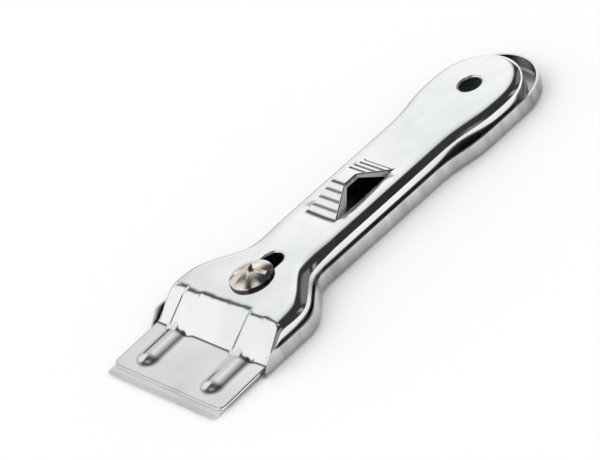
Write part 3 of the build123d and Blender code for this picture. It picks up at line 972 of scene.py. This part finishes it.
# parts of a noise's range that are stretched over the whole, and pointiness of a worn edge
CLOUD_SPAN, SCRATCH_SPAN, STREAK_SPAN = (0.42, 0.72), (0.66, 0.74), (0.42, 0.62)
MIDDLE_SPAN, WIDE_SPAN = (0.35, 0.65), (0.3, 0.7)
WORN_EDGE = (0.52, 0.58)
# parts of the tray along Y and Z, in metres
TAIL_SHADE = (0.0475, 0.0545)
FOOT_SHADE = (TRAY_HEIGHT * MM, 0.0005)
FLOOR_TOP = (0.0003, 0.0006)
WALL_ROOT = (0.0006, 0.0012)
WALL_RIM = (0.00459, 0.0045)
UNDER_HOLE = (0.0115, 0.0095)


def tray_colour(m, colour):
    """The base's marks: painted shade darker towards its foot, a streaked wall with painted shade
    round the tail, and painted bluish shade on the floor below the hole.
    """
    z = m.axis("Z")
    # painted shade, darker towards the resting face
    colour = m.marked(colour, m.span(z, *FOOT_SHADE), FOOT_SHADE_TONE)
    # the drawn wall is streaked from top to bottom, and painted shade darkens it round the tail
    streak_and_shade = m.times(m.span(m.noise(WALL_STREAKS), *STREAK_SPAN), STREAK_SHARE)
    streak_and_shade = m.plus(streak_and_shade, m.span(m.axis("Y"), *TAIL_SHADE, 0, TAIL_SHARE))
    wall = m.times(m.span(z, *WALL_ROOT), m.span(z, *WALL_RIM))
    colour = m.blend(m.times(streak_and_shade, wall), colour, STREAK_AND_TAIL_SHADE)
    centre = (0, SCREW_Y + HANGING_AT * MM, SHEET * MM)
    apart = m.node("VectorMath", {0: m.own, 1: centre}, operation="DISTANCE").outputs["Value"]
    # painted bluish shade on the tray's floor below the hanging hole
    under = m.times(m.span(apart, *UNDER_HOLE), m.span(z, *FLOOR_TOP))
    return m.marked(colour, under, HOLE_SHADE_TINT)


def plated(piece, name, plating, marks=False, tray=False):
    """Plating over stamped sheet: cloudy patches, fine rolling lines and small scratches."""
    bright, dull, rough_span = plating
    m = Metal(name)
    cloud = m.span(m.noise(PLATE_CLOUDS, detail=4.0), *CLOUD_SPAN)
    lines = m.noise(ROLLING_LINES, detail=2.0)
    scratch = m.span(m.noise(PLATE_SCRATCHES, detail=5.0, roughness=0.7), *SCRATCH_SPAN)
    colour = m.marked(m.blend(cloud, bright, dull), scratch, SCRATCHED)
    rough = m.span(cloud, 0, 1, *rough_span)
    rough = m.plus(rough, m.times(lines, LINE_ROUGH))
    rough = m.plus(rough, m.times(scratch, SCRATCH_ROUGH))
    if marks:
        # painted shade in the grooves and along the plate's edge, and the sheared flanks' duller
        # colour
        torn, shade_share = m.mark("sheared"), m.mark("recess")
        colour = m.marked(m.marked(colour, torn, TORN), shade_share, GROOVE_AND_EDGE_SHADE)
        rough = m.plus(rough, m.times(torn, TORN_ROUGH))
        rough = m.plus(rough, m.times(shade_share, SHADE_ROUGH))
    else:
        colour = m.marked(colour, m.wear(), RUBBED)
    if tray:
        colour = tray_colour(m, colour)
    normal = m.bump(lines, LINE_HEIGHT)
    normal = m.bump(m.noise(PLATE_DENTS, detail=2.0), DENT_HEIGHT, normal)
    m.finish(colour, rough, normal, piece)


GRINDING_LINES = (160, 7000, 160)
BLADE_CLOUDS = (45, 60, 45)
BLADE_STEEL = ((0.93, 0.93, 0.925), (0.8, 0.805, 0.81))
BLADE_ROUGH, BLADE_CLOUD_ROUGH = (0.28, 0.42), 0.05
GRINDING_HEIGHT = 0.0000012
OILED = 0.65             # metallic share of the blade, under its film of oil


def ground_blade(piece):
    """Spring steel ground across the blade, with its honed edge."""
    m = Metal("ground_steel")
    lines, cloud = m.noise(GRINDING_LINES), m.noise(BLADE_CLOUDS)
    colour = m.blend(m.span(cloud, *MIDDLE_SPAN), *BLADE_STEEL)
    rough = m.span(lines, *WIDE_SPAN, *BLADE_ROUGH)
    rough = m.plus(rough, m.times(cloud, BLADE_CLOUD_ROUGH))
    m.shader.inputs["Metallic"].default_value = OILED
    m.finish(colour, rough, m.bump(lines, GRINDING_HEIGHT), piece)


NICKEL_CLOUDS = (300, 300, 300)
NICKEL_GRAIN = (900, 900, 900)
NICKEL = ((0.95, 0.885, 0.82), (0.84, 0.77, 0.70))
NICKEL_ROUGH = (0.14, 0.22)
# painted shade below the screw head's rim
HEAD_RIM_SHADE = (0.1, 0.09, 0.085)
HEAD_RIM_SHADE_SPAN = (0.00945, 0.0093)      # from clean to the painted shade, in metres above the resting face
GRAIN_HEIGHT = 0.000003


def nickel(piece, name):
    """Turned and polished nickel: fine rings round the axis, with painted shade below the head's
    rim.
    """
    m = Metal(name)
    cloud = m.noise(NICKEL_CLOUDS)
    colour = m.blend(m.span(cloud, *MIDDLE_SPAN), *NICKEL)
    # painted shade below the head's rim
    colour = m.blend(m.span(m.axis("Z"), *HEAD_RIM_SHADE_SPAN), colour, HEAD_RIM_SHADE)
    rough = m.span(cloud, *WIDE_SPAN, *NICKEL_ROUGH)
    m.shader.inputs["Anisotropic"].default_value = 0.8
    m.shader.inputs["Anisotropic Rotation"].default_value = 0.25
    turned = m.node("Tangent", {}, direction_type="RADIAL", axis="Z").outputs[0]
    m.feed(turned, m.shader.inputs["Tangent"])
    m.finish(colour, rough, m.bump(m.noise(NICKEL_GRAIN), GRAIN_HEIGHT), piece)


TOOL_RINGS = (120, 120, 6000)
BUSH_CLOUDS = (400, 400, 400)
BUSH_STEEL = ((0.66, 0.66, 0.67), (0.5, 0.5, 0.51))
BUSH_ROUGH = (0.25, 0.4)


def turned_steel(piece):
    """Plain turned steel of the bush, with tool rings along its axis."""
    m = Metal("turned_steel")
    rings = m.noise(TOOL_RINGS, detail=2.0)
    colour = m.blend(m.noise(BUSH_CLOUDS), *BUSH_STEEL)
    rough = m.span(rings, *WIDE_SPAN, *BUSH_ROUGH)
    m.finish(colour, rough, m.bump(rings, GRAIN_HEIGHT), piece)


plated(skin, "bright_plate", BRIGHT_PLATE, marks=True)
plated(NODES["cover_shell"], "bright_plate_solid", BRIGHT_PLATE)
plated(NODES["base_shell"], "satin_plate", SATIN_PLATE, tray=True)
ground_blade(NODES["blade"])
screw = low_head(NODES["clamp_screw"], "screw")
nickel(screw, "nickel_screw")
nickel(NODES["clamp_screw"], "nickel_solid")
nickel(NODES["clamp_washer"], "nickel_washer")
turned_steel(NODES["threaded_bush"])
